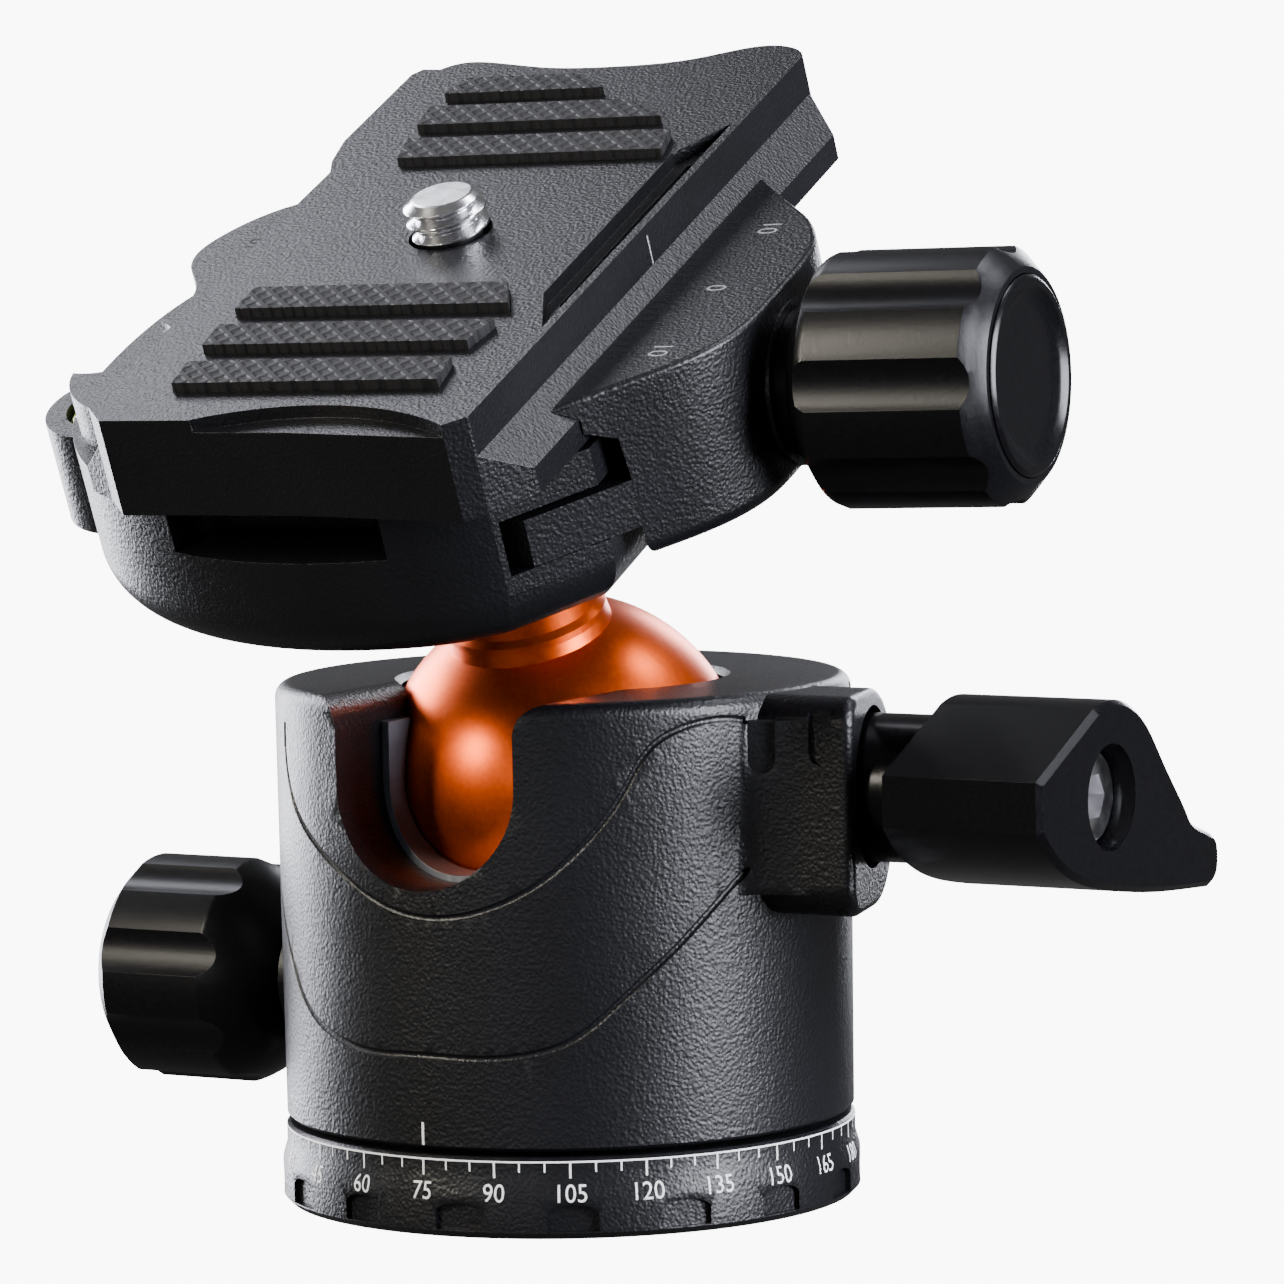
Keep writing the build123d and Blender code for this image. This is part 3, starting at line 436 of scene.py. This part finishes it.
parts = []
for i in range(-11, 12):
    long = i % 10 == 0
    parts.append(tick_top(jaw_tree, 18.15, 20.6 if long else (19.9 if i % 5 == 0 else 19.5), i * 1.08, 0.16))
v, f = join_parts(parts)
jaw_ticks = mesh_object("jaw_ruler_ticks", v, f, GROOVE)
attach(jaw_ticks, "jaw")
parts = []
for vv, s in ((-10.8, "10"), (0.0, "0"), (10.8, "10")):
    parts.append(text_top(jaw_tree, s, 2.3, 22.6, vv, radians(-90)))
v, f = join_parts(parts)
jaw_digits = mesh_object("jaw_ruler_digits", v, f, INK_DIM)
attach(jaw_digits, "jaw")
parts = []
for vv, s in ((-10.8, "10"), (10.8, "10")):
    parts.append(text_top(fixed_tree, s, 2.1, -22.4, vv, radians(90)))
v, f = join_parts(parts)
fixed_digits = mesh_object("fixed_jaw_digits", v, f, GROOVE)
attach(fixed_digits, "clamp")

# index line on the plate's right side
v = [hp(16.52, 2.3, 45.0), hp(16.52, 2.5, 45.0), hp(16.52, 2.5, 42.7), hp(16.52, 2.3, 42.7)]
plate_line = mesh_object("plate_index_print", v, [(0, 1, 2, 3)], INK_DIM)
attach(plate_line, "plate")


# ------------------------------------------------------------------ threads
def lathe_rows(rows, name, material, matrix, seg, close_ends=True, smooth=True):
    """rows: list of lists of (r, z) for each of seg angles; rows[i][j] = (r, z)."""
    verts, faces = [], []
    for row in rows:
        for j in range(seg):
            a = 2 * pi * j / seg
            r, z = row[j]
            verts.append(Vector((r * cos(a), r * sin(a), z)) * MM)
    n = len(rows)
    for i in range(n - 1):
        for j in range(seg):
            k = (j + 1) % seg
            faces.append((i * seg + j, i * seg + k, (i + 1) * seg + k, (i + 1) * seg + j))
    if close_ends:
        faces.append(tuple(range(seg - 1, -1, -1)))
        faces.append(tuple((n - 1) * seg + j for j in range(seg)))
    o = mesh_object(name, [matrix @ q for q in verts], faces, material, smooth)
    return o


def thread_r(z, ang, pitch, major, minor):
    """Radius of a 60 degree thread with flat crests and roots."""
    t = (z / pitch - ang / (2 * pi)) % 1.0
    t = abs(t - 0.5) * 2            # 1 at the root, 0 at the crest
    k = min(max((t - 0.16) / 0.66, 0), 1)
    return major + (minor - major) * k


seg = 72
pv = Matrix.Translation(V * 2.4 * MM)
rows = []
profile = [(0.6, 38.2), (7.5, 38.2), (7.9, 38.6), (7.9, 40.8), (7.5, 41.2), (2.5, 41.2), (2.5, 45.8)]
for r, z in profile:
    rows.append([(r, z)] * seg)
z = 45.85
while z <= 48.98:
    row = []
    for j in range(seg):
        a = 2 * pi * j / seg
        r = thread_r(z, a, 1.27, 3.175, 2.47)
        r = min(r, 2.42 + max(0.0, (48.98 - z)) * 1.25)
        if z < 46.1:
            r = min(r, 2.5 + (z - 45.85) * 3)
        row.append((r, z))
    rows.append(row)
    z += 0.05
rows.append([(2.25, 49.0)] * seg)
threaded = lathe_rows(rows, "camera_screw_threaded", CHROME, pv @ HEAD, seg)
for p in threaded.data.polygons:
    p.use_smooth = False
cut = mesh_object("slot_cut", [hp(x, y + 2.4, w) for x in (-9, 9) for y in (-0.9, 0.9) for w in (37.0, 39.6)],
                  [(0, 1, 3, 2), (4, 6, 7, 5), (0, 4, 5, 1), (2, 3, 7, 6), (0, 2, 6, 4), (1, 5, 7, 3)], CHROME)
bm_ = threaded.modifiers.new("slot", "BOOLEAN")
bm_.object = cut
bm_.operation = "DIFFERENCE"
bm_.solver = "EXACT"
bpy.context.view_layer.update()
dg = bpy.context.evaluated_depsgraph_get()
me_new = bpy.data.meshes.new_from_object(threaded.evaluated_get(dg))
threaded.modifiers.clear()
threaded.data = me_new
bpy.data.objects.remove(cut)
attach(threaded, "camera_bolt")
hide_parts("camera_screw")

# tripod socket with its inside thread
rows = []
seg2 = 72
z = 0.0
inner = []
while z <= 11.0001:
    row = []
    for j in range(seg2):
        a = 2 * pi * j / seg2
        r = thread_r(z, a, 1.5875, 3.97, 4.7)
        if z < 0.8:
            r = max(r, 3.97 + (0.8 - z))
        row.append((r, z))
    inner.append(row)
    z += 0.1
rows = [[(6.5, 11.0)] * seg2, [(6.5, 0.0)] * seg2] + inner + [[(6.5, 11.0)] * seg2]
socket = lathe_rows(rows, "thread_insert_threaded", STEEL, Matrix.Identity(4), seg2, close_ends=False, smooth=False)
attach(socket, "base")
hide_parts("thread_insert")

# ------------------------------------------------------------------ edge softening
soften("housing", 0.00022, 2, 32)
soften("pan_base", 0.00018, 2, 32)
soften("clamp_base", 0.0004, 3, 30)
soften("moving_jaw", 0.0004, 3, 30)
soften("quick_plate", 0.0006, 3, 26)
soften("clamp_knob", 0.00045, 3, 26)
soften("pan_knob", 0.00045, 3, 26)
soften("lock_lever", 0.0003, 3, 30)
soften("liner_ring", 0.0002, 2, 32)
soften("knob_cap", 0.00015, 2, 30)
soften("lever_screw", 0.0001, 2, 30)

# ------------------------------------------------------------------ stage
def glow(name, level, shade, body):
    """Pale matt stage surface that also gives off a little light, so that it reads as plain white."""
    m, nt, b, tc = node_material(name)
    n = noise(nt, tc, 6, 2)
    col = ramp(nt, n.outputs[0], [(0.3, (shade, shade, shade)), (0.7, (shade + 0.02, shade + 0.02, shade + 0.02))])
    low = ramp(nt, n.outputs[0], [(0.3, (body, body, body)), (0.7, (body + 0.02, body + 0.02, body + 0.02))])
    nt.links.new(low.outputs[0], b.inputs["Base Color"])
    nt.links.new(col.outputs[0], b.inputs["Emission Color"])
    setv(b, "Emission Strength", level)
    setv(b, "Roughness", 0.8)
    setv(b, "Specular IOR Level", 0.0)
    return m


# one white sweep: level out to 1.1 m, then curving up all round with no seam
SWEEP = [(0.12 * k, 0.0) for k in range(10)] + [(1.1 + 1.3 * sin(radians(t)), 1.3 - 1.3 * cos(radians(t))) for t in range(5, 91, 5)] + \
        [(2.3, 2.2), (1.6, 2.9), (0.0, 3.0)]
NS = 96
dv = [(0.0, 0.0, -0.0002)]
for i in range(NS):
    a = 2 * pi * i / NS
    for r, z in SWEEP[1:-1]:
        dv.append((r * cos(a), r * sin(a), z - 0.0002))
dv.append((0.0, 0.0, 3.0))
M = len(SWEEP) - 2
df = []
for i in range(NS):
    k = (i + 1) % NS
    df.append((0, 1 + M * i, 1 + M * k))
    for j in range(M - 1):
        df.append((1 + M * i + j, 1 + M * i + j + 1, 1 + M * k + j + 1, 1 + M * k + j))
    df.append((1 + M * i + M - 1, len(dv) - 1, 1 + M * k + M - 1))
floor = mesh_object("floor", dv, df, glow("floor_white", 10.0, 0.94, 0.34), smooth=True)
floor.visible_glossy = False
floor.visible_diffuse = False

world = bpy.data.worlds.new("studio")
bpy.context.scene.world = world
world.use_nodes = True
wn = world.node_tree
wn.nodes.clear()
wo = wn.nodes.new("ShaderNodeOutputWorld")
bg = wn.nodes.new("ShaderNodeBackground")
bg.inputs[0].default_value = (1, 1, 1, 1)
bg.inputs[1].default_value = 0.13
wn.links.new(bg.outputs[0], wo.inputs[0])


def softbox(name, az, el, dist, sx, sy, power, color=(1, 1, 1), aim=(0, 0, 0.045)):
    """Area light; az from -Y towards +X in degrees."""
    d = bpy.data.lights.new(name, "AREA")
    d.shape = "RECTANGLE"
    d.size, d.size_y = sx, sy
    d.energy = power
    d.color = color
    o = bpy.data.objects.new(name, d)
    a, e = radians(az), radians(el)
    p = Vector((sin(a) * cos(e), -cos(a) * cos(e), sin(e))) * dist
    o.location = p + Vector(aim)
    o.rotation_euler = (-p).to_track_quat("-Z", "Y").to_euler()
    bpy.context.scene.collection.objects.link(o)
    return o


COOL = (0.9, 0.91, 1.0)
# the side lights are for the object; the sweep keeps its even white
unlit = bpy.data.collections.new("unlit_stage")
unlit.objects.link(floor)
unlit.collection_objects[0].light_linking.link_state = "EXCLUDE"
sides = [
    softbox("left_wall", -106, 8, 0.5, 0.34, 0.4, 7.4, COOL),
    softbox("back_left_top", -122, 46, 0.5, 0.16, 0.16, 0.62, COOL),
    softbox("right_key", 90, 12, 0.6, 0.25, 0.4, 12.0, COOL),
    softbox("back_right", 190, 8, 0.5, 0.1, 0.3, 1.5, COOL),
    softbox("front_left", -30, 26, 0.5, 0.05, 0.26, 2.9, (1.0, 0.93, 0.8)),
    softbox("low_front", 8, 3, 0.55, 0.3, 0.1, 0.2, COOL)]
for o in sides:
    o.light_linking.receiver_collection = unlit
softbox("top_right", 132, 62, 0.5, 0.1, 0.3, 1.6, COOL)

# ------------------------------------------------------------------ camera
az, el, D = radians(30.4), radians(5.3664), 0.55541
pan_a, tilt_a, roll_a, f_px = radians(-0.6497), radians(0.0243), radians(1.1201), 7048.66
target = Vector((0, 0, 0.04325))
bvec = Vector((sin(az) * cos(el), -cos(az) * cos(el), sin(el)))
right = Vector((cos(az), sin(az), 0))
fwd = -bvec
up = right.cross(fwd)


def rot(v, axis, ang):
    return Matrix.Rotation(ang, 3, axis) @ v


f1, r1 = rot(fwd, up, pan_a), rot(right, up, pan_a)
f2 = rot(f1, r1, tilt_a)
u2 = r1.cross(f2)
r3, u3 = rot(r1, f2, roll_a), rot(u2, f2, roll_a)
cd = bpy.data.cameras.new("camera")
cam = bpy.data.objects.new("camera", cd)
cd.sensor_width = 36.0
cd.lens = f_px / 1284 * 36
cd.clip_start, cd.clip_end = 0.01, 20
m = Matrix((r3, u3, -f2)).transposed().to_4x4()
m.translation = target + bvec * D
cam.matrix_world = m
bpy.context.scene.collection.objects.link(cam)
bpy.context.scene.camera = cam

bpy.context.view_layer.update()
